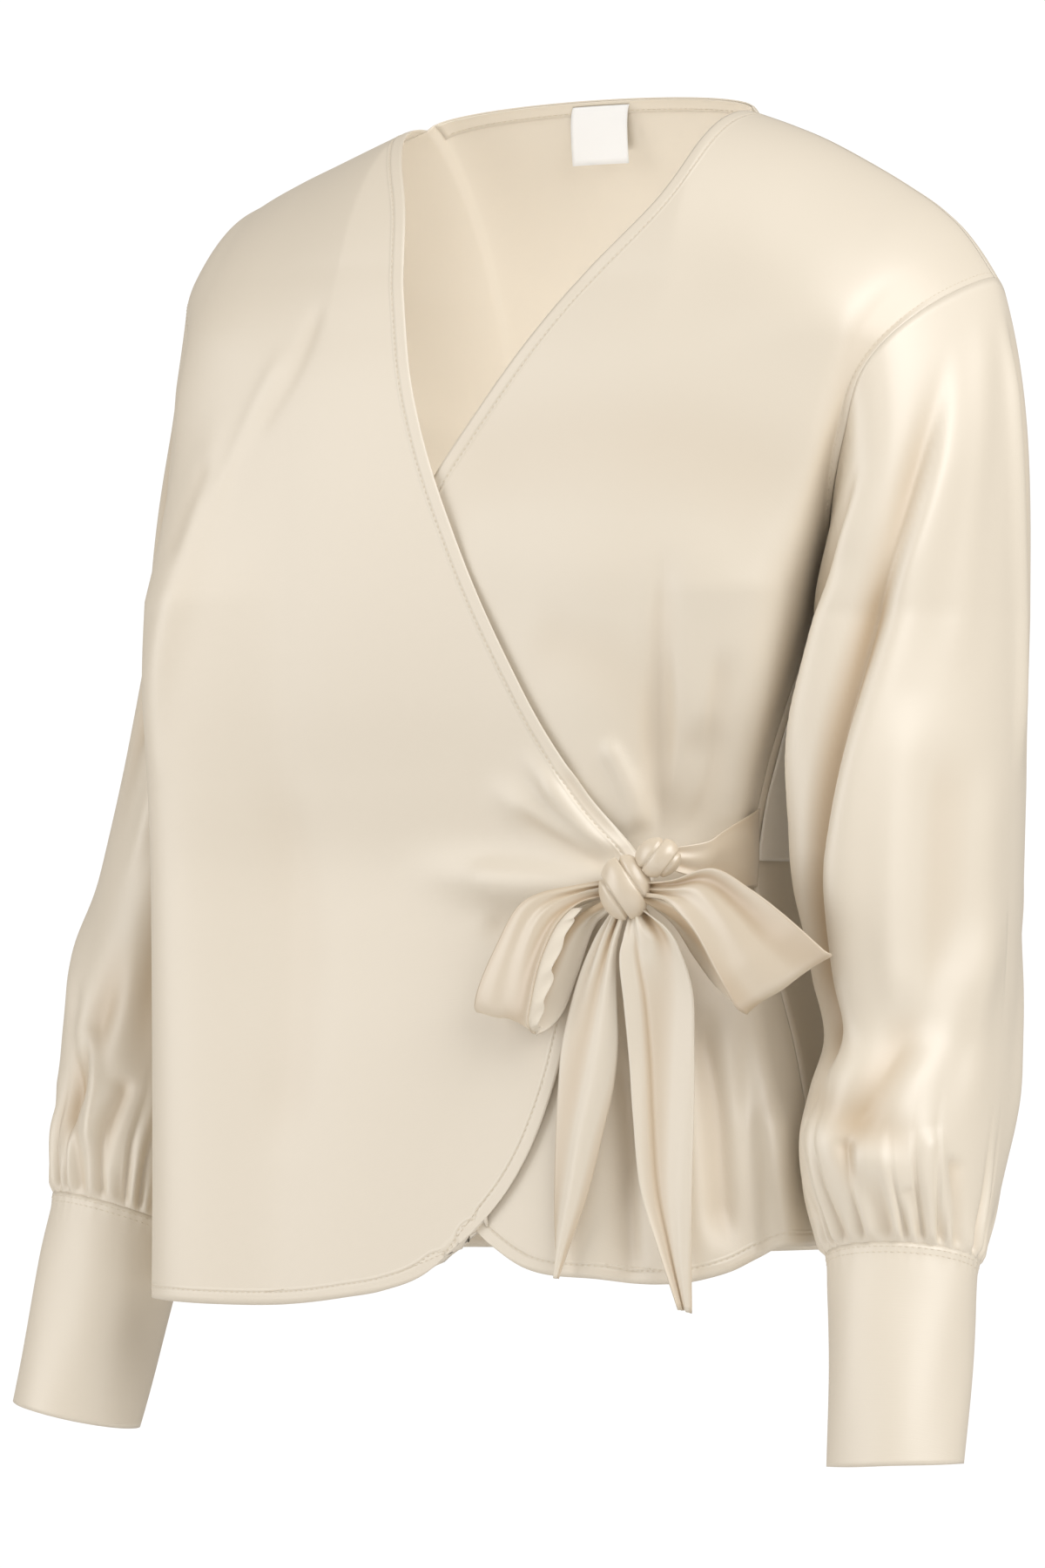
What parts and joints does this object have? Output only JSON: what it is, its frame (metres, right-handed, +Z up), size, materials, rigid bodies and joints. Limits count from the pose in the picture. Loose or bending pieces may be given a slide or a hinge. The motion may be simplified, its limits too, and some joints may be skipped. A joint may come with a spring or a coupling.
{
  "type": "wrap blouse",
  "caption": "Long-sleeved satin wrap blouse with full sleeves gathered into deep cuffs, tied in a bow at the left waist, in its hollow worn form.",
  "frame": {"origin": "midway between the two points where the shoulder seams meet the neck, where the worn blouse hangs", "axes": "+Z up, the front faces -Y, the wearer's left side is +X"},
  "size_m": [0.564, 0.2614, 0.6944],
  "materials": {
    "satin": "champagne satin, shiny side out",
    "satin_tie": "champagne satin ribbon of the ties",
    "satin_inside": "matte wrong side of the satin",
    "label_white": "plain white woven label, blank"
  },
  "bodies": {
    "root": {"back": "satin", "front_right": "satin", "front_left": "satin", "sleeve_left": "satin", "sleeve_right": "satin", "cuff_left": "satin", "cuff_right": "satin", "neck_binding": "satin_inside", "neck_label": "label_white", "side_facing": "satin_inside", "tie_strap": "satin_tie", "tie_knot": "satin_tie", "tie_loop_inner": "satin_tie", "tie_loop_outer": "satin_tie", "tie_tail_front": "satin_tie", "tie_tail_back": "satin_tie"}
  },
  "joints": []
}
